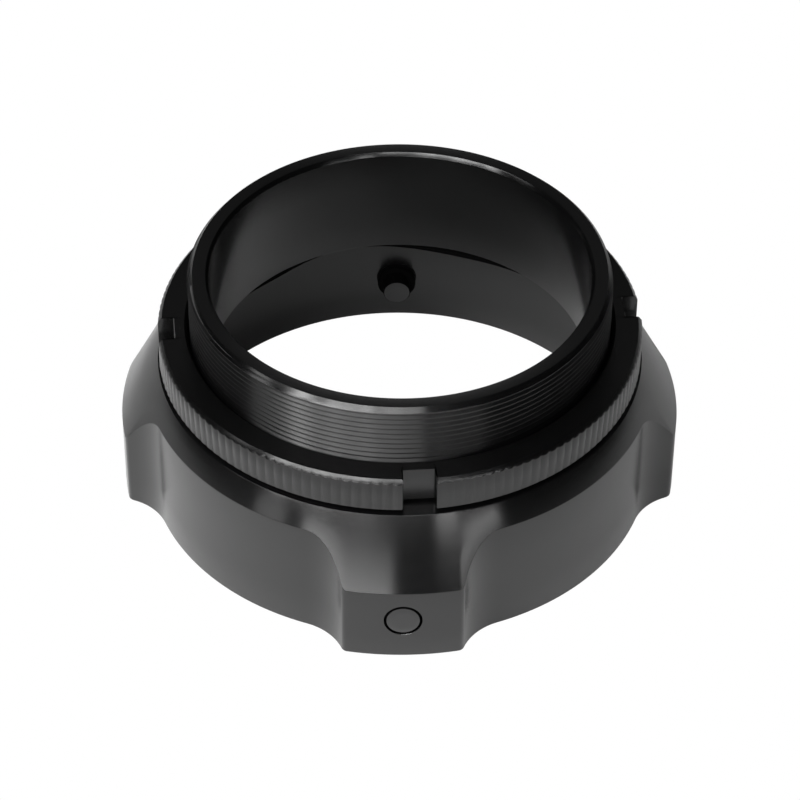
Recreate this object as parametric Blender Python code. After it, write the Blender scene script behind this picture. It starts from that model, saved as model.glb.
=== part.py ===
# Step-down ring: a lobed base turned in one piece with a male threaded barrel, a knurled
# and slotted lock ring on that thread, two radial pins and a soft ring under the step.
# The origin is the centre of the base and +Z runs up the barrel. Lengths are in metres.
import math

import bmesh
import bpy
from mathutils import Matrix

MM = 0.001

# Turned body, base to rim
TOTAL_HEIGHT = 31.4 * MM
THREAD_MAJOR_RADIUS = 26.0 * MM
THREAD_PITCH = 0.75 * MM
THREAD_DEPTH = 0.46 * MM
THREAD_CREST = 30.07 * MM  # height of its top crest at the front
THREAD_FOOT = 22.9 * MM  # it is cut to just inside the lock ring, which hides the rest
THREAD_RELIEF_RADIUS = 25.4 * MM
THREAD_RELIEF_HEIGHT = 1.2 * MM
LEAD_CHAMFER_WIDTH = 0.64 * MM
LEAD_CHAMFER_HEIGHT = 1.25 * MM
BORE_RADIUS = 23.42 * MM
BORE_MOUTH_WIDTH = 0.33 * MM
BORE_MOUTH_HEIGHT = 0.5 * MM
BORE_FOOT_CHAMFER = 0.1 * MM
SHOULDER_TOP = 18.54 * MM
SHOULDER_UNDERSIDE = 16.44 * MM
SHOULDER_RADIUS = 30.06 * MM
SEAT_RADIUS = 29.3 * MM
LOBE_RADIUS = 34.9 * MM
LOBE_FACE_TOP = 10.3 * MM
BASE_BREAK = 0.23 * MM

# Milled scallops between the lobes
LOBE_COUNT = 4
SCALLOP_RADIUS = 31.68 * MM
SCALLOP_CUTTER_RADIUS = 7.4 * MM
SCALLOP_END_ANGLE = math.radians(21.4)
LOBE_CORNER_RADIUS = 0.9 * MM

# Radial pins in the front and rear lobes
PIN_HEIGHT = 5.9 * MM
PIN_HOLE_RADIUS = 2.325 * MM
PIN_RADIUS = 1.775 * MM
PIN_LAND_RADIUS = 2.025 * MM
PIN_LAND_START = 30.2 * MM
PIN_LAND_END = 34.55 * MM
PIN_INNER_END = 26.5 * MM
PIN_OUTER_END = 34.85 * MM
PIN_CHAMFER = 0.12 * MM
PIN_NOSE_CHAMFER = 0.25 * MM

# Lock ring
LOCK_RING_BOTTOM = 19.05 * MM
LOCK_RING_TOP = 23.78 * MM
LOCK_RING_RADIUS = 29.9 * MM
LOCK_RING_BORE = 26.3 * MM
LOCK_RING_BORE_CHAMFER = 0.26 * MM
LOCK_RING_CHAMFER_WIDTH = 0.4 * MM
LOCK_RING_CHAMFER_HEIGHT = 0.5 * MM
LOCK_RING_FOOT_CHAMFER = 0.2 * MM
SLOT_COUNT = 4
SLOT_WIDTH = 4.0 * MM
SLOT_FLOOR = 27.8 * MM
LOCK_RING_TURN = math.radians(3.8)
KNURL_GROOVES = 152
KNURL_DEPTH = 0.14 * MM
KNURL_WIDTH = 0.5 * MM

# Soft seat ring: its inner edge is round but for where it bulges into the bore.
# Each bulge is (degrees from the rear lobe, depth, width in degrees).
SEAT_RING_TOP = 16.14 * MM
SEAT_RING_BOTTOM = 15.64 * MM
SEAT_RING_OUTER = 29.0 * MM
SEAT_RING_INNER = 24.8 * MM
SEAT_RING_BULGES = ((24.0, 2.15 * MM, 16.4), (-47.0, 1.5 * MM, 11.5))

TURNED_STEPS = 120
PIN_STEPS = 24
FLOOR_STEP = 2 * math.pi / TURNED_STEPS
CORNER_STEP = math.radians(12.0)
CUT_MARGIN = 2.0 * MM
MERGE_DISTANCE = 0.001 * MM
FLAT_ANGLE = math.radians(0.1)
FRONT = math.radians(-90.0)
REAR = math.radians(90.0)


def clear_scene():
    for obj in list(bpy.data.objects):
        bpy.data.objects.remove(obj, do_unlink=True)


def finish_material(name, colour, roughness, metallic):
    material = bpy.data.materials.new(name)
    material.use_nodes = True
    shader = material.node_tree.nodes["Principled BSDF"]
    shader.inputs["Base Color"].default_value = (*colour, 1.0)
    shader.inputs["Roughness"].default_value = roughness
    shader.inputs["Metallic"].default_value = metallic
    return material


def add_object(name, shape, material=None):
    """A named object from a bmesh, shaded smooth between its sharp edges."""
    bmesh.ops.recalc_face_normals(shape, faces=shape.faces)
    mesh = bpy.data.meshes.new(name)
    shape.to_mesh(mesh)
    shape.free()
    mesh.shade_smooth()
    mesh.set_sharp_from_angle(angle=math.radians(25.0))
    obj = bpy.data.objects.new(name, mesh)
    bpy.context.scene.collection.objects.link(obj)
    if material:
        mesh.materials.append(material)
    return obj


def turned(name, profile, steps, material=None):
    """A closed (radius, height) outline turned about Z. Radii of zero meet on the axis."""
    shape = bmesh.new()
    points = [shape.verts.new((radius, 0.0, height)) for radius, height in profile]
    solid = profile[0][0] == 0.0
    pairs = zip(points, points[1:] if solid else points[1:] + points[:1])
    edges = [shape.edges.new(pair) for pair in pairs]
    bmesh.ops.spin(
        shape, geom=points + edges, axis=(0, 0, 1), cent=(0, 0, 0),
        angle=2 * math.pi, steps=steps, use_merge=True,
    )
    bmesh.ops.remove_doubles(shape, verts=shape.verts, dist=MERGE_DISTANCE)
    return add_object(name, shape, material)


def even_angles(count):
    return [index * 2 * math.pi / count for index in range(count)]


def ring_of_sections(name, angles, section_at, material=None):
    """A ring with its own closed (radius, height) section at each angle about Z.

    Points that fall together merge. That closes the turn, also where the sections climb."""
    shape = bmesh.new()
    rows = []
    for angle in [*angles, angles[0] + 2 * math.pi]:
        across, along = math.cos(angle), math.sin(angle)
        rows.append([shape.verts.new((r * across, r * along, z)) for r, z in section_at(angle)])
    corners = len(rows[0])
    for here, there in zip(rows, rows[1:]):
        for low in range(corners):
            high = (low + 1) % corners
            shape.faces.new((here[low], here[high], there[high], there[low]))
    bmesh.ops.remove_doubles(shape, verts=shape.verts, dist=MERGE_DISTANCE)
    bmesh.ops.connect_verts_nonplanar(shape, angle_limit=FLAT_ANGLE, faces=shape.faces)
    return add_object(name, shape, material)


def extruded(name, outline, bottom, top):
    """A closed plan outline carried straight up from bottom to top."""
    shape = bmesh.new()
    face = shape.faces.new([shape.verts.new((x, y, bottom)) for x, y in outline])
    grown = bmesh.ops.extrude_face_region(shape, geom=[face])["geom"]
    risen = [item for item in grown if isinstance(item, bmesh.types.BMVert)]
    bmesh.ops.translate(shape, verts=risen, vec=(0, 0, top - bottom))
    return add_object(name, shape)


def as_cutter(obj):
    obj.hide_render = True
    obj.display_type = "WIRE"
    return obj


def cut(obj, cutters):
    for cutter in cutters:
        modifier = obj.modifiers.new("Cut " + cutter.name, "BOOLEAN")
        modifier.operation = "DIFFERENCE"
        modifier.solver = "EXACT"
        modifier.object = as_cutter(cutter)


def copies_around(obj, count, start=0.0):
    """The object and its copies, turned evenly about Z."""
    found = [obj]
    for index in range(1, count):
        copy = bpy.data.objects.new(f"{obj.name}_{index + 1}", obj.data)
        bpy.context.scene.collection.objects.link(copy)
        found.append(copy)
    for index, each in enumerate(found):
        each.rotation_euler.z = start + index * 2 * math.pi / count
    return found


def arc(centre, radius, start, end, step):
    """Points along an arc in plan, a step apart and ending at its end."""
    count = math.ceil(abs(end - start) / step)
    turn = math.copysign(step, end - start)
    angles = [start + turn * index for index in range(count)] + [end]
    return [
        (centre[0] + radius * math.cos(angle), centre[1] + radius * math.sin(angle))
        for angle in angles
    ]


def side_angle(near, far, opposite):
    """The angle between two sides of a triangle, from its three side lengths."""
    return math.acos((near * near + far * far - opposite * opposite) / (2 * near * far))


def scallop_outline():
    """Plan of one scallop, centred on +X: the cutter's path, with the lobes' corners left round."""
    half = math.pi / LOBE_COUNT - SCALLOP_END_ANGLE
    reach = SCALLOP_RADIUS + SCALLOP_CUTTER_RADIUS
    corner_reach = LOBE_RADIUS - LOBE_CORNER_RADIUS
    corner_turn = side_angle(reach, corner_reach, SCALLOP_CUTTER_RADIUS + LOBE_CORNER_RADIUS)
    nose = (reach * math.cos(half), reach * math.sin(half))
    corner_angle = half + corner_turn
    corner = (corner_reach * math.cos(corner_angle), corner_reach * math.sin(corner_angle))
    meet = math.atan2(corner[1] - nose[1], corner[0] - nose[0])
    lift = LOBE_RADIUS + CUT_MARGIN
    floor = arc((0, 0), SCALLOP_RADIUS, 0.0, half, FLOOR_STEP)
    flank = arc(nose, SCALLOP_CUTTER_RADIUS, half + math.pi, meet, CORNER_STEP)
    edge = arc(corner, LOBE_CORNER_RADIUS, meet - math.pi, corner_angle, CORNER_STEP)
    outside = arc((0, 0), lift, corner_angle, 0.0, CORNER_STEP)
    upper = floor[:-1] + flank[:-1] + edge + outside
    lower = [(x, -y) for x, y in reversed(upper[1:-1])]
    return upper + lower


def thread_profile(angle):
    """Crests and roots of the helix at one angle, top down, running out at both ends."""
    top = TOTAL_HEIGHT - LEAD_CHAMFER_HEIGHT
    start = THREAD_CREST + THREAD_PITCH
    climb = THREAD_PITCH * (angle - FRONT) / (2 * math.pi)
    turns = math.ceil((start - THREAD_FOOT) / THREAD_PITCH) + 2
    points = []
    for half in range(2 * turns):
        height = start + climb - half * THREAD_PITCH / 2
        height = min(max(height, THREAD_FOOT), top)
        room = min(top - height, height - THREAD_FOOT) / THREAD_PITCH
        depth = THREAD_DEPTH * min(room, 1.0) if half % 2 else 0.0
        points.append((THREAD_MAJOR_RADIUS - depth, height))
    return points


def clamp_body(material):
    rim_outer = THREAD_MAJOR_RADIUS - LEAD_CHAMFER_WIDTH
    relief_slope = THREAD_MAJOR_RADIUS - THREAD_RELIEF_RADIUS
    relief_top = SHOULDER_TOP + THREAD_RELIEF_HEIGHT

    def section_at(angle):
        return [
            (BORE_RADIUS + BORE_MOUTH_WIDTH, TOTAL_HEIGHT),
            (rim_outer, TOTAL_HEIGHT),
            *thread_profile(angle),
            (THREAD_MAJOR_RADIUS, relief_top + relief_slope),
            (THREAD_RELIEF_RADIUS, relief_top),
            (THREAD_RELIEF_RADIUS, SHOULDER_TOP),
            (SHOULDER_RADIUS, SHOULDER_TOP),
            (LOBE_RADIUS, LOBE_FACE_TOP),
            (LOBE_RADIUS, BASE_BREAK),
            (LOBE_RADIUS - BASE_BREAK, 0.0),
            (SEAT_RADIUS + BASE_BREAK, 0.0),
            (SEAT_RADIUS, BASE_BREAK),
            (SEAT_RADIUS, SHOULDER_UNDERSIDE),
            (BORE_RADIUS + BORE_FOOT_CHAMFER, SHOULDER_UNDERSIDE),
            (BORE_RADIUS, SHOULDER_UNDERSIDE + BORE_FOOT_CHAMFER),
            (BORE_RADIUS, TOTAL_HEIGHT - BORE_MOUTH_HEIGHT),
        ]

    body = ring_of_sections("clamp_body", even_angles(TURNED_STEPS), section_at, material)
    scallop = extruded("scallop_cutter", scallop_outline(), -CUT_MARGIN, SHOULDER_TOP)
    cut(body, copies_around(scallop, LOBE_COUNT, start=math.pi / LOBE_COUNT))
    drill = turned(
        "pin_drill",
        [
            (0.0, SEAT_RADIUS - CUT_MARGIN),
            (PIN_HOLE_RADIUS, SEAT_RADIUS - CUT_MARGIN),
            (PIN_HOLE_RADIUS, LOBE_RADIUS + CUT_MARGIN),
            (0.0, LOBE_RADIUS + CUT_MARGIN),
        ],
        PIN_STEPS,
    )
    drill.data.transform(Matrix.Rotation(math.radians(90.0), 4, "Y"))
    drills = copies_around(drill, 2, start=REAR)
    for each in drills:
        each.location.z = PIN_HEIGHT
    cut(body, drills)
    return body


def pin(name, direction, material):
    """A shouldered pin along +X, turned to point out of its lobe."""
    profile = [
        (0.0, PIN_INNER_END),
        (PIN_RADIUS - PIN_NOSE_CHAMFER, PIN_INNER_END),
        (PIN_RADIUS, PIN_INNER_END + PIN_NOSE_CHAMFER),
        (PIN_RADIUS, PIN_LAND_START),
        (PIN_LAND_RADIUS, PIN_LAND_START),
        (PIN_LAND_RADIUS, PIN_LAND_END),
        (PIN_RADIUS, PIN_LAND_END),
        (PIN_RADIUS, PIN_OUTER_END - PIN_CHAMFER),
        (PIN_RADIUS - PIN_CHAMFER, PIN_OUTER_END),
        (0.0, PIN_OUTER_END),
    ]
    obj = turned(name, profile, PIN_STEPS, material)
    obj.data.transform(Matrix.Rotation(math.radians(90.0), 4, "Y"))
    obj.location.z = PIN_HEIGHT
    obj.rotation_euler.z = direction
    return obj


def knurl_cutter():
    """A sleeve round the ring, with a ridge inside it for each groove of the straight knurl."""
    half = KNURL_WIDTH / 2
    reach = 2 * KNURL_DEPTH
    clear = LOCK_RING_RADIUS + reach - KNURL_DEPTH
    spread = half * reach / KNURL_DEPTH / LOCK_RING_RADIUS
    pitch = 2 * math.pi / KNURL_GROOVES
    angles, ridges = [], set()
    for index in range(KNURL_GROOVES):
        middle = LOCK_RING_TURN + (index + 0.5) * pitch
        angles += [middle - spread, middle, middle + spread]
        ridges.add(middle)

    def section_at(angle):
        inner = clear - reach if angle in ridges else clear
        outer = LOCK_RING_RADIUS + CUT_MARGIN
        low, high = LOCK_RING_BOTTOM - CUT_MARGIN, LOCK_RING_TOP + CUT_MARGIN
        return [(inner, low), (outer, low), (outer, high), (inner, high)]

    return ring_of_sections("knurl_cutter", angles, section_at)


def lock_ring(material):
    ring = turned(
        "lock_ring",
        [
            (LOCK_RING_BORE + LOCK_RING_BORE_CHAMFER, LOCK_RING_TOP),
            (LOCK_RING_RADIUS - LOCK_RING_CHAMFER_WIDTH, LOCK_RING_TOP),
            (LOCK_RING_RADIUS, LOCK_RING_TOP - LOCK_RING_CHAMFER_HEIGHT),
            (LOCK_RING_RADIUS, LOCK_RING_BOTTOM + LOCK_RING_FOOT_CHAMFER),
            (LOCK_RING_RADIUS - LOCK_RING_FOOT_CHAMFER, LOCK_RING_BOTTOM),
            (LOCK_RING_BORE + LOCK_RING_BORE_CHAMFER, LOCK_RING_BOTTOM),
            (LOCK_RING_BORE, LOCK_RING_BOTTOM + LOCK_RING_BORE_CHAMFER),
            (LOCK_RING_BORE, LOCK_RING_TOP - LOCK_RING_BORE_CHAMFER),
        ],
        TURNED_STEPS,
        material,
    )
    outer = LOCK_RING_RADIUS + CUT_MARGIN
    half = SLOT_WIDTH / 2
    outline = [(SLOT_FLOOR, -half), (outer, -half), (outer, half), (SLOT_FLOOR, half)]
    slot = extruded(
        "slot_cutter", outline, LOCK_RING_BOTTOM - CUT_MARGIN, LOCK_RING_TOP + CUT_MARGIN
    )
    cut(ring, [knurl_cutter(), *copies_around(slot, SLOT_COUNT, start=LOCK_RING_TURN)])
    return ring


def seat_ring_inner(angle):
    """Inner radius of the soft ring at an angle measured from +X."""
    radius = SEAT_RING_INNER
    for place, depth, width in SEAT_RING_BULGES:
        away = math.degrees(REAR - angle) - place
        away = (away + 180.0) % 360.0 - 180.0
        radius -= depth * math.exp(-0.5 * (away / width) ** 2)
    return radius


def seat_ring(material):
    def section_at(angle):
        inner = seat_ring_inner(angle)
        return [
            (inner, SEAT_RING_BOTTOM),
            (SEAT_RING_OUTER, SEAT_RING_BOTTOM),
            (SEAT_RING_OUTER, SEAT_RING_TOP),
            (inner, SEAT_RING_TOP),
        ]

    return ring_of_sections("seat_ring", even_angles(TURNED_STEPS), section_at, material)


clear_scene()
anodised = finish_material("black_anodised_body", (0.022, 0.022, 0.024), 0.38, 0.0)
anodised_ring = finish_material("black_anodised_ring", (0.018, 0.018, 0.020), 0.42, 0.0)
pin_metal = finish_material("blackened_pin", (0.035, 0.035, 0.037), 0.34, 0.0)
soft_black = finish_material("soft_black_ring", (0.012, 0.012, 0.012), 0.75, 0.0)

clamp_body(anodised)
lock_ring(anodised_ring)
seat_ring(soft_black)
pin("front_pin", FRONT, pin_metal)
pin("rear_pin", REAR, pin_metal)
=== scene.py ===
import math

import bmesh
import bpy
import numpy as np
from mathutils import Matrix, Vector


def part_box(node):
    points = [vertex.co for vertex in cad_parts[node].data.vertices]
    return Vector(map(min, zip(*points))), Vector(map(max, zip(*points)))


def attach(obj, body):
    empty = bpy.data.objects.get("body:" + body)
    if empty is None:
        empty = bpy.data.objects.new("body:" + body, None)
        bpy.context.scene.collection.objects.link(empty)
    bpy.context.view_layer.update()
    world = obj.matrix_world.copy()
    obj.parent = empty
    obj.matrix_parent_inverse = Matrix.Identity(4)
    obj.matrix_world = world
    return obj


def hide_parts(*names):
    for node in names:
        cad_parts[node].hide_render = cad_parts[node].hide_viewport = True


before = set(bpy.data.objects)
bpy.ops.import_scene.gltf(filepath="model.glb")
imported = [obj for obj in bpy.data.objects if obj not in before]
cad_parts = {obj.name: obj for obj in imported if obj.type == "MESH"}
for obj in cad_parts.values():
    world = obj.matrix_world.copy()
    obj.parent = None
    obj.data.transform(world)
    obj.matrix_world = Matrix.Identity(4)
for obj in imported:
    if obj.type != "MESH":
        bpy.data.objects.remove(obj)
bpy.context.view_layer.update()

mm = 0.001
print("frame loaded:", ", ".join(sorted(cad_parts)))


# Small helpers for meshes

weld = 1e-7  # metres, points closer than this are one
roundSteps = 3  # faces across each rounded edge


def tidied(mesh):
    # No doubled points or closed-up faces, and every normal outwards
    shape = bmesh.new()
    shape.from_mesh(mesh)
    bmesh.ops.remove_doubles(shape, verts=shape.verts, dist=2 * weld)
    bmesh.ops.dissolve_degenerate(shape, dist=weld, edges=shape.edges)
    bmesh.ops.recalc_face_normals(shape, faces=shape.faces)
    if shape.calc_volume(signed=True) < 0:
        bmesh.ops.reverse_faces(shape, faces=shape.faces)
    shape.to_mesh(mesh)
    shape.free()
    return mesh


def meshFrom(name, points, faces):
    # Points that fall together become one, and faces that closed up are left out
    keys, first, index = np.unique(
        np.round(points / weld).astype(np.int64), axis=0, return_index=True, return_inverse=True
    )
    index = index.reshape(-1)
    kept = []
    for face in faces:
        ring = [int(index[corner]) for corner in face]
        ring = [corner for place, corner in enumerate(ring) if corner != ring[place - 1]]
        if len(ring) > 2 and len(set(ring)) == len(ring):
            kept.append(ring)
    mesh = bpy.data.meshes.new(name)
    mesh.from_pydata(points[first].tolist(), [], kept)
    piece = bpy.data.objects.new(name, tidied(mesh))
    bpy.context.scene.collection.objects.link(piece)
    return piece


def wrapped(name, rows):
    # Rows of points in millimetres, each once round the piece, and the rows once round its section
    count, around = len(rows), len(rows[0])
    points = np.concatenate([row * mm for row in rows])
    faces = []
    for row in range(count):
        here, there = row * around, (row + 1) % count * around
        for place in range(around - 1):
            faces.append((here + place, here + place + 1, there + place + 1, there + place))
    return meshFrom(name, points, faces)


def smoothed(piece, sharpAngle):
    piece.data.shade_smooth()
    piece.data.set_sharp_from_angle(angle=math.radians(sharpAngle))
    return piece


def rounded(section):
    # Section points are (radius, height, round).
    # A radius or a height is one value, or one for each column of the piece.
    width = max(np.size(value) for point in section for value in point[:2])
    spread = [
        np.stack([np.broadcast_to(np.asarray(value, float), (width,)) for value in point[:2]], -1)
        for point in section
    ]
    found = []
    for place, point in enumerate(section):
        here = spread[place]
        if not point[2]:
            found.append(here)
            continue
        before, after = spread[place - 1] - here, spread[(place + 1) % len(section)] - here
        start = here + before / np.linalg.norm(before, axis=1, keepdims=True) * point[2]
        end = here + after / np.linalg.norm(after, axis=1, keepdims=True) * point[2]
        for step in range(roundSteps + 1):
            t = step / roundSteps
            found.append(start * (1 - t) ** 2 + here * 2 * t * (1 - t) + end * t ** 2)
    return found


def spun(section, angles):
    # Section rows at each column's angle
    return [
        np.stack([row[:, 0] * np.cos(angles), row[:, 0] * np.sin(angles), row[:, 1]], -1)
        for row in section
    ]


def turnedPiece(name, profile, columns):
    # A solid turned piece along Z, closed on its axis at both ends
    angles = np.linspace(0, 2 * math.pi, columns + 1)
    rows = [np.full((len(angles), 2), (radius, height)) for radius, height in profile]
    return wrapped(name, spun(rows, angles))


def carve(piece, cutters):
    for cutter in cutters:
        cut = piece.modifiers.new(cutter.name, "BOOLEAN")
        cut.operation, cut.solver, cut.object = "DIFFERENCE", "EXACT", cutter
    graph = bpy.context.evaluated_depsgraph_get()
    mesh = bpy.data.meshes.new_from_object(piece.evaluated_get(graph))
    piece.modifiers.clear()
    piece.data = tidied(mesh)
    for cutter in cutters:
        bpy.data.objects.remove(cutter, do_unlink=True)
    return piece


def facing(piece, direction, height):
    # Turns a piece made along Z so that it points outwards at an angle about the axis
    place = Matrix.Translation((0, 0, height)) @ Matrix.Rotation(math.radians(direction), 4, "Z")
    piece.data.transform(place @ Matrix.Rotation(math.radians(90), 4, "Y"))
    return piece


# Shader maths as plain expressions

class Wire:
    def __init__(self, owner, socket):
        self.owner, self.socket = owner, socket

    def maths(self, operation, *values):
        return self.owner.node("ShaderNodeMath", {"operation": operation}, dict(enumerate(values)))

    def __add__(self, other):
        return self.maths("ADD", self, other)

    def __sub__(self, other):
        return self.maths("SUBTRACT", self, other)

    def __rsub__(self, other):
        return self.maths("SUBTRACT", other, self)

    def __mul__(self, other):
        return self.maths("MULTIPLY", self, other)

    def __pow__(self, other):
        return self.maths("POWER", self, other)

    def __gt__(self, other):
        return self.maths("GREATER_THAN", self, other)

    __radd__, __rmul__ = __add__, __mul__


class Nodes:
    def __init__(self, tree):
        self.tree = tree

    def node(self, kind, settings=None, inputs=None, output=0):
        made = self.tree.nodes.new(kind)
        for key, value in (settings or {}).items():
            setattr(made, key, value)
        for key, value in (inputs or {}).items():
            self.feed(made.inputs[key], value)
        return Wire(self, made.outputs[output])

    def feed(self, socket, value):
        if isinstance(value, Wire):
            self.tree.links.new(value.socket, socket)
        else:
            socket.default_value = value


class Finish(Nodes):
    def __init__(self, name, **fixed):
        self.material = bpy.data.materials.new(name)
        self.material.use_nodes = True
        super().__init__(self.material.node_tree)
        self.shader = self.tree.nodes["Principled BSDF"]
        self.surface(**fixed)

    def surface(self, **inputs):
        for socket, value in inputs.items():
            self.feed(self.shader.inputs[socket.replace("_", " ")], value)
        return self.material

    def place(self):
        return self.node("ShaderNodeTexCoord", output="Object")

    def axes(self, vector):
        split = self.node("ShaderNodeSeparateXYZ", {}, {0: vector}).socket.node
        return [Wire(self, socket) for socket in split.outputs]

    def vector(self, x, y, z):
        return self.node("ShaderNodeCombineXYZ", {}, {0: x, 1: y, 2: z})

    def noise(self, vector, scale, detail, roughness=0.5):
        inputs = {"Vector": vector, "Scale": scale, "Detail": detail, "Roughness": roughness}
        return self.node("ShaderNodeTexNoise", {}, inputs)

    def blend(self, factor, dark, light):
        settings = {"data_type": "RGBA"}
        return self.node("ShaderNodeMix", settings, {0: factor, 6: dark, 7: light}, output=2)

    def bump(self, height, distance):
        return self.node("ShaderNodeBump", {}, {"Height": height, "Distance": distance})


# Black anodised aluminium with the lathe's fine rings in it

anodising = {
    # "brushed" is how far the rings spread a highlight across themselves
    "body": {"dark": 0.002, "light": 0.005, "roughness": 0.20, "brushed": 0.8},
    "thread": {"dark": 0.002, "light": 0.005, "roughness": 0.32, "brushed": 1.0},
    "ring": {"dark": 0.0015, "light": 0.004, "roughness": 0.24, "brushed": 0.8},
    "pin": {"dark": 0.006, "light": 0.012, "roughness": 0.22, "brushed": 0.0},
    "index": 1.7,  # refractive index of the oxide
    "brushTurn": 0.25,  # of a full turn, so that the spread runs across the rings
    "coolness": 1.04,  # blue against red and green
    "latheLines": 5200.0,  # noise scale across the rings, per metre
    "latheDepth": 0.0015 * mm,
    "grain": 2600.0, "cloud": 55.0,
    "toneLines": 0.4, "toneCloud": 0.6,
    "roughLines": 0.06, "roughGrain": 0.08,
    "bumpLines": 0.7, "bumpGrain": 0.3,
}


def grey(level):
    return level, level, level * anodising["coolness"], 1


def anodised(name, look):
    way = anodising
    finish = Finish(name, Metallic=0.0, IOR=way["index"], Anisotropic=look["brushed"])
    finish.surface(Anisotropic_Rotation=way["brushTurn"])
    x, y, z = finish.axes(finish.place())
    radius = (x * x + y * y) ** 0.5
    lines = finish.noise(finish.vector(radius, 0.0, z), way["latheLines"], 3.0, 0.6)
    grain = finish.noise(finish.place(), way["grain"], 3.0, 0.6)
    cloud = finish.noise(finish.place(), way["cloud"], 2.0)
    mixed = lines * way["toneLines"] + cloud * way["toneCloud"]
    tone = finish.blend(mixed, grey(look["dark"]), grey(look["light"]))
    rough = look["roughness"] + (grain - 0.5) * way["roughGrain"] + (lines - 0.5) * way["roughLines"]
    relief = lines * way["bumpLines"] + grain * way["bumpGrain"]
    normal = finish.bump(relief, way["latheDepth"])
    return finish.surface(Base_Color=tone, Roughness=rough, Normal=normal)


# Dull soft black for the soft ring. On the pins' shanks in their holes the same dark, dull black is
# painted shade, darker than the pins' ends

softAndShadeLook = {
    "index": 1.15, "dark": 0.0008, "light": 0.002, "roughness": 0.85, "roughFibres": 0.2,
    "fibres": 3800.0, "fibreDepth": 0.03 * mm,
}


def softBlackAndShade(name):
    look = softAndShadeLook
    finish = Finish(name, Metallic=0.0, IOR=look["index"])
    fibres = finish.noise(finish.place(), look["fibres"], 4.0, 0.7)
    tone = finish.blend(fibres, grey(look["dark"]), grey(look["light"]))
    rough = look["roughness"] + (fibres - 0.5) * look["roughFibres"]
    normal = finish.bump(fibres, look["fibreDepth"])
    return finish.surface(Base_Color=tone, Roughness=rough, Normal=normal)


# Base and barrel, one turned piece with milled scallops. Sizes are in millimetres, angles in degrees.

bodySizes = {
    "rimOuter": 25.36, "rimInner": 23.75, "rimEdge": 0.03,
    "bore": 23.42, "boreMouth": 0.5, "boreFoot": 0.1, "boreRows": (26.0, 21.0),
    "threadMajor": 26.0, "threadPitch": 0.75, "threadDepth": 0.3, "threadCrest": 30.07,
    "threadCorners": (-0.05, 0.05, 0.4, 0.5, 0.6),  # turns of pitch from a crest
    "threadCut": ((0.05, 0.4, 0.5), (0.0, 1.0, 1.04)),  # turns from a crest, share of the depth
    "threadStart": 0.25,  # of a turn: the crest's height above is at the front
    "threadRunOut": 0.5,
    "chamferFoot": 30.76, "relief": 25.4, "reliefTop": 19.75, "reliefEdge": 0.1,
    "stepTop": 18.54, "stepUnder": 16.44, "stepRadius": 30.06,
    "lobeFaceTop": 10.3, "wallRows": (0.33, 0.66),  # shares of the wall's height
    "seat": 29.3, "seatRows": (12.0, 8.0, 4.0), "seatFoot": 0.5,
    "scallop": 31.68, "cutter": 7.4, "scallopEnd": 21.4, "lobeCorner": 0.9, "lobes": 4,
    "columns": (16, 8, 14, 30),  # across half a lobe, its corner, the cutter's arc, half a scallop
    "pinHeight": 5.9, "pinHole": 2.325, "holeEdge": 0.05, "holeColumns": 72, "drillRoom": 2.0,
    "sharp": 28,
    "rounds": {
        "seatFoot": 0.2, "wallFoot": 0.22, "wallTop": 0.05, "stepEdge": 0.04, "stepFoot": 0.2,
        "rim": 0.05, "boreFoot": 0.03, "seatTop": 0.15,
    },
}


def lobeSections(size, lobeRadius):
    # Where the milled outline changes, as angles from a lobe's middle, and its arcs' centres
    reach = size["scallop"] + size["cutter"]
    corner = lobeRadius - size["lobeCorner"]
    gap = size["cutter"] + size["lobeCorner"]
    end = math.radians(size["scallopEnd"])
    turn = math.acos((reach ** 2 + corner ** 2 - gap ** 2) / (2 * reach * corner))
    cornerAngle = end - turn
    nose = reach * np.array([math.cos(end), math.sin(end)])
    middle = corner * np.array([math.cos(cornerAngle), math.sin(cornerAngle)])
    touch = middle + (nose - middle) * size["lobeCorner"] / gap
    return {
        "end": end, "reach": reach, "corner": corner, "cornerAngle": cornerAngle,
        "touchAngle": math.atan2(touch[1], touch[0]),
    }


def outlineRadius(angles, size, lobeRadius, parts):
    # Radius of the milled outline at each angle
    share = 2 * math.pi / size["lobes"]
    away = np.abs((angles + share / 2) % share - share / 2)
    fromNose, fromCorner = away - parts["end"], away - parts["cornerAngle"]
    inside = np.maximum(size["cutter"] ** 2 - (parts["reach"] * np.sin(fromNose)) ** 2, 0)
    flank = parts["reach"] * np.cos(fromNose) - np.sqrt(inside)
    inside = np.maximum(size["lobeCorner"] ** 2 - (parts["corner"] * np.sin(fromCorner)) ** 2, 0)
    edge = parts["corner"] * np.cos(fromCorner) + np.sqrt(inside)
    return np.select(
        [away <= parts["cornerAngle"], away <= parts["touchAngle"], away <= parts["end"]],
        [lobeRadius, edge, flank],
        size["scallop"],
    )


def bodyColumns(size, parts):
    # Angles round the body, closer together where the outline turns
    share = math.pi / size["lobes"]
    stops = (0, parts["cornerAngle"], parts["touchAngle"], parts["end"], share)
    half = np.concatenate([
        np.linspace(start, end, count, endpoint=False)
        for start, end, count in zip(stops, stops[1:], size["columns"])
    ])
    lobe = np.concatenate([half, 2 * share - np.append(half[1:], share)[::-1]])
    turns = [lobe + 2 * share * index for index in range(size["lobes"])]
    return np.append(np.concatenate(turns), 2 * math.pi)


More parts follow.
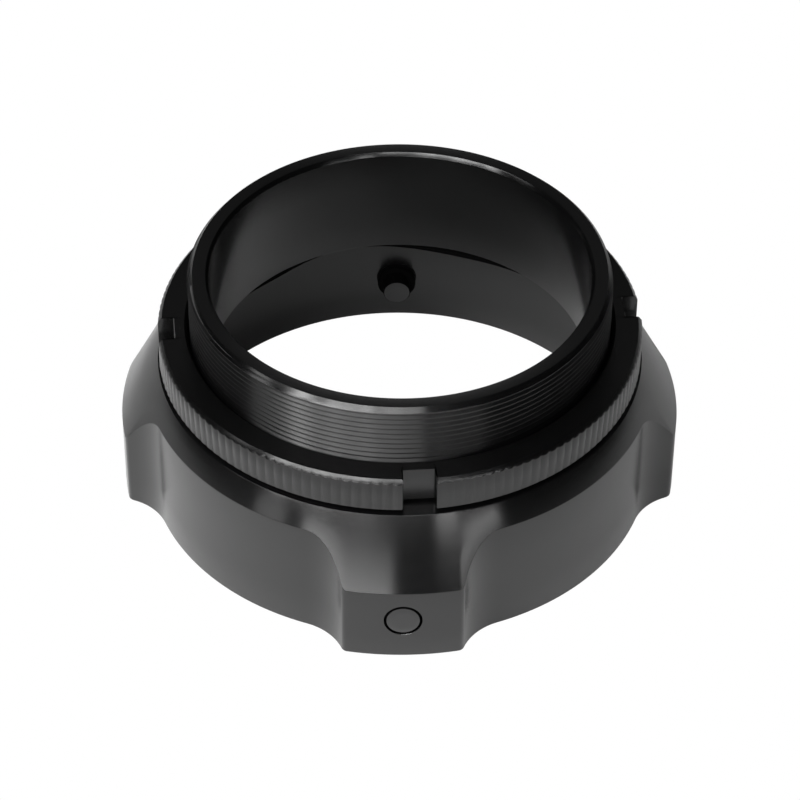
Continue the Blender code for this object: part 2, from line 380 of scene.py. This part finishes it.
def threadRows(size, angles, low, high):
    # The helix: crest and root lines follow it, and its ends are cut level
    pitch, crest = size["threadPitch"], size["threadCrest"]
    turns = int((high - low) / pitch) + 3
    start = crest - pitch * math.ceil((crest - low) / pitch + 1)
    climb = angles / (2 * math.pi) + size["threadStart"]
    chamfer = (size["threadMajor"] - size["rimOuter"]) / (high - size["chamferFoot"])
    rows = []
    for turn in range(turns):
        for along in size["threadCorners"]:
            height = np.clip(start + pitch * (turn + along + climb), low, high)
            phase = np.abs(((height - crest) / pitch - climb + 0.5) % 1 - 0.5)
            groove = np.interp(phase, *size["threadCut"]) * size["threadDepth"]
            lead = np.maximum(height - size["chamferFoot"], 0) * chamfer
            foot = np.maximum(size["reliefTop"] + size["threadRunOut"] - height, 0)
            depth = np.maximum(np.maximum(groove, lead), foot)
            rows.append(np.stack([size["threadMajor"] - depth, height], -1))
    return rows


def holeCutter(size, lobeRadius):
    hole, edge, room = size["pinHole"], size["holeEdge"], size["drillRoom"]
    inner, outer = size["seat"] - room, lobeRadius + room
    profile = [
        (0, inner), (hole, inner), (hole, lobeRadius - edge), (hole + edge + room, outer), (0, outer)
    ]
    return turnedPiece("pinHole", profile, size["holeColumns"])


def makeBody():
    size, edges = bodySizes, bodySizes["rounds"]
    low, high = (np.array(corner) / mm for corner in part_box("clamp_body"))
    lobeRadius, rim = high[0], high[2]
    parts = lobeSections(size, lobeRadius)
    angles = bodyColumns(size, parts)
    outline = outlineRadius(angles, size, lobeRadius, parts)
    slope = (lobeRadius - size["stepRadius"]) / (size["stepTop"] - size["lobeFaceTop"])
    wallTop = size["stepTop"] - (outline - size["stepRadius"]) / slope
    seat, bore, under = size["seat"], size["bore"], size["stepUnder"]
    section = rounded([
        (seat, 0.0, edges["seatFoot"]),
        (outline, 0.0, edges["wallFoot"]),
        *[(outline, wallTop * share, 0) for share in size["wallRows"]],
        (outline, wallTop, edges["wallTop"]),
        (size["stepRadius"] * 0.5 + outline * 0.5, (wallTop + size["stepTop"]) / 2, 0),
        (size["stepRadius"], size["stepTop"], edges["stepEdge"]),
        (size["relief"], size["stepTop"], edges["stepFoot"]),
        (size["relief"], size["reliefTop"] - size["reliefEdge"], 0),
    ])
    section += threadRows(size, angles, size["reliefTop"], rim)
    section += rounded([
        (size["rimOuter"] - size["rimEdge"], rim, 0),
        (size["rimInner"], rim, edges["rim"]),
        (bore, rim - size["boreMouth"], edges["rim"]),
        *[(bore, height, 0) for height in size["boreRows"]],
        (bore, under + size["boreFoot"], edges["boreFoot"]),
        (bore + size["boreFoot"], under, edges["boreFoot"]),
        (seat, under, edges["seatTop"]),
        *[(seat, height, 0) for height in size["seatRows"]],
        (seat, size["seatFoot"], 0),
    ])[:-1]
    wide = (len(angles), 2)
    section = [np.broadcast_to(row, wide) if len(row) == 1 else row for row in section]
    body = wrapped("turnedBody", spun(section, angles))
    height = size["pinHeight"] * mm
    drills = [facing(holeCutter(size, lobeRadius), side, height) for side in (-90, 90)]
    return smoothed(carve(body, drills), size["sharp"])


def isThread(middle):
    size = bodySizes
    reach, height = math.hypot(middle.x, middle.y) / mm, middle.z / mm
    low, high = size["reliefTop"] - 0.3, size["chamferFoot"] + 0.1
    return reach > size["relief"] - 0.05 and low < height < high


# Lock ring with a straight knurl and four spanner slots

lockSizes = {
    "outer": 29.9, "bore": 26.3, "boreEdge": 26.56, "boreBevel": 0.26, "foot": 19.05,
    "topFlatEdge": 0.05, "topBoreEdge": 0.03,
    "bevelWidth": 0.44, "bevelHeight": 0.51, "footBevel": 0.2, "edge": 0.07,
    "teeth": 152, "toothDepth": 0.11,
    "toothPoints": (0, 0.08, 0.26, 0.74, 0.92),  # shares of a tooth's pitch
    "toothCut": ((0.24, 0.42, 0.5), (0.0, 0.8, 1.0)),  # share of the pitch, share of the depth
    "slots": 4, "slotWidth": 4.0, "slotFloor": 27.8, "slotCorner": 0.12, "floorPoints": 6,
    "slotWall": (29.84, 29.46, 28.9), "mouthStep": 0.0022,
    "turn": 3.8, "sharp": 24,
}


def knurlRadius(angles, size):
    phase = np.abs(angles * size["teeth"] / (2 * math.pi) % 1 - 0.5)
    return size["outer"] - size["toothDepth"] * np.interp(phase, *size["toothCut"])


def lockOutline(size):
    # Plan of the outer edge: knurl, then down one wall of a slot, along its floor and up the other
    half, corner = size["slotWidth"] / 2, size["slotCorner"]
    share = 2 * math.pi / size["slots"]
    mouth = math.asin(half / size["outer"])
    tooth = 2 * math.pi / size["teeth"]
    teeth = np.arange(size["teeth"])
    lands = np.concatenate([(teeth + part) * tooth for part in size["toothPoints"]])
    wall = np.array([*size["slotWall"], size["slotFloor"] + corner])
    floor = np.linspace(-half + corner, half - corner, size["floorPoints"])
    points = []
    for index in range(size["slots"]):
        middle = share * index + math.radians(size["turn"])
        along = np.array([math.cos(middle), math.sin(middle)])
        across = np.array([-along[1], along[0]])
        points += [along * depth - across * half for depth in wall]
        points += [along * size["slotFloor"] + across * side for side in floor]
        points += [along * depth + across * half for depth in wall[::-1]]
        start = middle + mouth + size["mouthStep"]
        end = middle + share - mouth - size["mouthStep"]
        spread = np.sort((lands - start) % (2 * math.pi)) + start
        spread = np.concatenate([[start], spread[spread < end], [end]])
        radius = knurlRadius(spread, size)
        points += list(np.stack([radius * np.cos(spread), radius * np.sin(spread)], -1))
    return np.array(points + points[:1])


def makeLockRing():
    size, edge = lockSizes, lockSizes["edge"]
    top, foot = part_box("lock_ring")[1].z / mm, size["foot"]
    outline = lockOutline(size)
    radius = np.hypot(outline[:, 0], outline[:, 1])
    ahead, behind = np.roll(outline[:-1], -1, 0), np.roll(outline[:-1], 1, 0)
    run = ahead - behind
    inward = np.stack([-run[:, 1], run[:, 0]], -1) / np.linalg.norm(run, axis=1, keepdims=True)
    inward = np.append(inward, inward[:1], 0)
    polar = np.unwrap(np.arctan2(outline[:, 1], outline[:, 0]))
    polar = np.append(np.sort(polar[:-1]), np.sort(polar[:-1])[0] + 2 * math.pi)
    bevel = size["outer"] - size["bevelWidth"]
    topEdge = top - np.clip(radius - bevel, 0, None) * size["bevelHeight"] / size["bevelWidth"]
    footEdge = foot + np.clip(radius - (size["outer"] - size["footBevel"]), 0, None)

    def outer(inset, height):
        place = outline + inward * inset
        return np.column_stack([place, np.broadcast_to(height, len(place))])

    def circle(distance, height):
        return np.column_stack([
            distance * np.cos(polar), distance * np.sin(polar), np.full(len(polar), height)
        ])

    # The bevel is turned, so it crosses the knurl but leaves the slots' walls upright
    inBevel = (radius > bevel + edge)[:, None]
    turnedIn = outline * ((bevel - edge * 0.5) / radius)[:, None]
    bevelTop = np.where(inBevel, turnedIn, outline + inward * edge)
    rows = [
        circle(size["boreEdge"], foot),
        outer(edge * 3, foot),
        outer(edge, footEdge),
        outer(0.0, footEdge + edge),
        outer(0.0, (footEdge + topEdge) / 2),
        outer(0.0, topEdge - edge),
        outer(edge * 0.3, topEdge - edge * 0.3),
        np.column_stack([(bevelTop + outline) / 2, (topEdge + top) / 2]),
        np.column_stack([bevelTop, np.full(len(radius), top)]),
        circle(size["boreEdge"] + size["topFlatEdge"], top),
        circle(size["boreEdge"], top - size["topBoreEdge"]),
        circle(size["bore"], top - size["boreBevel"]),
        circle(size["bore"], foot + size["boreBevel"]),
    ]
    return smoothed(wrapped("knurledLockRing", rows), size["sharp"])


# Pins, each with a collar in its hole that closes the gap to the eye

pinSizes = {
    "point": 1.775, "collar": 2.5, "shank": 2.08, "inner": 26.5, "outer": 34.85,
    "collarStart": 28.2, "collarEnd": 29.1, "edge": 0.1, "columns": 64, "sharp": 40,
}


def makePin(name, direction):
    size = pinSizes
    point, collar, shank, edge = (size[key] for key in ("point", "collar", "shank", "edge"))
    inner, outer, start = size["inner"], size["outer"], size["collarStart"]
    profile = [
        (0, inner), (point * 0.5, inner), (point - edge, inner), (point, inner + edge),
        (point, start), (collar - edge * 3, start), (collar, start + edge * 3),
        (collar, size["collarEnd"]), (shank, size["collarEnd"]),
        (shank, outer - edge), (shank - edge * 0.3, outer - edge * 0.3), (shank - edge, outer),
        (shank * 0.5, outer), (0, outer),
    ]
    pin = turnedPiece(name, profile, size["columns"])
    return smoothed(facing(pin, direction, bodySizes["pinHeight"] * mm), size["sharp"])


def isShank(middle):
    reach = abs(middle.y) / mm
    return pinSizes["inner"] + 0.01 < reach < pinSizes["outer"] - 0.01


# Thin soft ring under the step

softSizes = {
    "top": 16.14, "bottom": 15.64, "outer": 29.0, "inner": 24.8,
    "bulges": ((18.8, 1.51, 16.6), (-41.5, 1.22, 12.0)),  # degrees from the rear, depth, width in degrees
    "columns": 360, "round": 0.12, "sharp": 60,
}


def makeSoftRing():
    size, edge = softSizes, softSizes["round"]
    angles = np.linspace(0, 2 * math.pi, size["columns"] + 1)
    inner = np.full(len(angles), size["inner"])
    for place, depth, width in size["bulges"]:
        away = (90 - np.degrees(angles) - place + 180) % 360 - 180
        inner -= depth * np.exp(-0.5 * (away / width) ** 2)
    section = rounded([
        (inner, size["bottom"], edge), (size["outer"], size["bottom"], edge),
        (size["outer"], size["top"], edge), (inner, size["top"], edge),
    ])
    return smoothed(wrapped("softSeatRing", spun(section, angles)), size["sharp"])


# All pieces, each on its body

def dress(piece, material, body, node):
    piece.data.materials.clear()
    piece.data.materials.append(material)
    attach(piece, body)
    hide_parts(node)
    print("made", piece.name, len(piece.data.polygons), "faces")


def paint(piece, material, chosen):
    # A second material on the faces whose middles are chosen: a rougher finish on the thread, painted
    # shade on the pins' sides
    piece.data.materials.append(material)
    for face in piece.data.polygons:
        if chosen(face.center):
            face.material_index = 1


body = makeBody()
dress(body, anodised("blackAnodisedBody", anodising["body"]), "clamp", "clamp_body")
paint(body, anodised("blackAnodisedThread", anodising["thread"]), isThread)
ringBlack = anodised("blackAnodisedRing", anodising["ring"])
dress(makeLockRing(), ringBlack, "lock_ring", "lock_ring")
dress(makeSoftRing(), softBlackAndShade("softBlackAndShade"), "clamp", "seat_ring")
pinBlack = anodised("blackenedPin", anodising["pin"])
# Painted shade: the pins' sides get a darker, duller black than their ends, to stand for the shade on
# them
shankShade = softBlackAndShade("paintedShadeOnShank")
for name, node, direction in (("frontPin", "front_pin", -90), ("rearPin", "rear_pin", 90)):
    pin = makePin(name, direction)
    dress(pin, pinBlack, "clamp", node)
    paint(pin, shankShade, isShank)


# Camera at the photograph's angle: millimetres and degrees

view = {
    "target": (0.061, 0.0, 10.22), "distance": 416.13, "elevation": 41.36, "turn": -1.0,
    "roll": 0.381, "lens": 148.46, "sensor": 36.0, "nearest": 0.01, "furthest": 10,
}


def placeCamera():
    camera = bpy.data.objects.new("camera", bpy.data.cameras.new("camera"))
    bpy.context.scene.collection.objects.link(camera)
    camera.data.lens, camera.data.sensor_width = view["lens"], view["sensor"]
    camera.data.clip_start, camera.data.clip_end = view["nearest"], view["furthest"]
    lift, roll = math.radians(view["elevation"]), math.radians(view["roll"])
    forward = Vector((0, math.cos(lift), -math.sin(lift)))
    right = Vector((1, 0, 0))
    up = right.cross(forward)
    tiltedRight = right * math.cos(roll) + up * math.sin(roll)
    tiltedUp = up * math.cos(roll) - right * math.sin(roll)
    turn = Matrix.Rotation(math.radians(view["turn"]), 4, "Z")
    place = Vector(view["target"]) - forward * view["distance"]
    facingWay = Matrix((tiltedRight, tiltedUp, -forward)).transposed().to_4x4()
    camera.matrix_world = turn @ Matrix.Translation(place * mm) @ facingWay
    bpy.context.scene.camera = camera


placeCamera()
print("camera placed")


# Floor, world and lamps

studio = {
    "floor": 0.95, "floorRoughness": 0.9, "floorHalf": 3.0, "floorDrop": 0.02 * mm,
    "paintedGlow": 0.26, "glowSlope": -4.0,  # painted light: what the floor round the object gives off though it is no lamp, to brighten the object's reflections in its walls, and how it falls off along X
    "glowFrom": 31.0, "glowTo": 56.0,
    "reach": 1200.0,  # from the object to every lamp
    "lamps": {  # turn from the camera's side, lift, width and height in degrees, and brightness
        "mainSoftbox": (-39.4, 35.1, 14.2, 7.7, 10.7),
        "mainKicker": (-54.9, 35.6, 6.9, 21.2, 7.1),
        "middleSoftbox": (-28.6, 44.4, 18.4, 10.4, 6.5),
        "frontSoftbox": (-4.3, 43.1, 23.8, 9.5, 4.8),
        "frontKicker": (5.4, 43.0, 9.2, 9.9, 2.1),
        "leftSoftbox": (-78.0, 34.5, 9.8, 7.0, 3.3),
        "bevelStrip": (-20.0, 37.5, 16.0, 5.0, 8.5),
        "highKicker": (-5.9, 52.4, 6.9, 13.2, 2.7),
        "highLeft": (-54.2, 62.3, 5.1, 48.7, 3.5),
        "highFront": (-74.2, 55.0, 15.7, 11.9, 7.6),
        "overhead": (75.3, 83.1, 7.2, 9.8, 9.4),
        "lowFront": (-20.7, 9.2, 35.1, 6.1, 7.5),
        "lowLeft": (-52.8, 9.7, 13.1, 5.5, 2.5),
        "lowRight": (19.3, 27.3, 8.4, 6.8, 5.8),
        "rightStrip": (31.9, 16.0, 15.1, 6.0, 5.3),
        "backStrip": (179.0, 24.0, 8.0, 13.3, 1.3),
        "backPanel": (180.0, 40.0, 40.0, 12.0, 0.07),
    },
}


def makeFloor():
    floor = bpy.data.meshes.new("floor")
    half = studio["floorHalf"]
    corners = [(-half, -half, 0), (half, -half, 0), (half, half, 0), (-half, half, 0)]
    floor.from_pydata(corners, [], [(0, 1, 2, 3)])
    piece = bpy.data.objects.new("floor", floor)
    bpy.context.scene.collection.objects.link(piece)
    piece.location.z = -studio["floorDrop"]
    level = studio["floor"]
    finish = Finish("paleFloor", Base_Color=(level, level, level, 1), Roughness=studio["floorRoughness"])
    x, y, z = finish.axes(finish.place())
    radius = (x * x + y * y) ** 0.5
    # Painted light: the floor glows in a ring between glowFrom and glowTo round the object, stronger
    # towards -X, and lights the object and brightens its reflections though it is no lamp
    around = (radius > studio["glowFrom"] * mm) - (radius > studio["glowTo"] * mm)
    paintedGlow = around * (x * studio["glowSlope"] + studio["paintedGlow"])
    finish.surface(Emission_Color=finish.vector(paintedGlow, paintedGlow, paintedGlow), Emission_Strength=1.0)
    toCamera = finish.node("ShaderNodeLightPath", output="Is Camera Ray")
    white = finish.node("ShaderNodeEmission", {}, {"Color": (1, 1, 1, 1), "Strength": 1.0})
    pale = Wire(finish, finish.shader.outputs[0])
    seen = finish.node("ShaderNodeMixShader", {}, {0: toCamera, 1: pale, 2: white})
    finish.feed(finish.tree.nodes["Material Output"].inputs["Surface"], seen)
    floor.materials.append(finish.material)


def makeWorld():
    # White behind the object, and no light from it
    world = bpy.data.worlds.new("studio")
    world.use_nodes = True
    nodes = Nodes(world.node_tree)
    background = world.node_tree.nodes["Background"]
    nodes.feed(background.inputs["Color"], (1, 1, 1, 1))
    toCamera = nodes.node("ShaderNodeLightPath", output="Is Camera Ray")
    nodes.feed(background.inputs["Strength"], toCamera)
    bpy.context.scene.world = world


def makeLamp(name, turn, lift, width, height, brightness):
    # A flat softbox that looks this wide and high from the object, and faces it
    reach = studio["reach"] * mm
    turn, lift = math.radians(turn), math.radians(lift)
    light = bpy.data.lights.new(name, "AREA")
    light.shape = "RECTANGLE"
    light.size = 2 * reach * math.tan(math.radians(width) / 2)
    light.size_y = 2 * reach * math.tan(math.radians(height) / 2)
    light.energy = brightness * math.pi * light.size * light.size_y
    piece = bpy.data.objects.new(name, light)
    bpy.context.scene.collection.objects.link(piece)
    side = Vector((math.sin(turn), -math.cos(turn), 0)) * math.cos(lift)
    piece.location = (side + Vector((0, 0, math.sin(lift)))) * reach
    piece.rotation_euler = piece.location.to_track_quat("Z", "Y").to_euler()
    piece.visible_camera = False


makeFloor()
makeWorld()
for name, lamp in studio["lamps"].items():
    makeLamp(name, *lamp)
bpy.context.scene.view_settings.view_transform = "Standard"
print("studio lit")

bpy.context.view_layer.update()
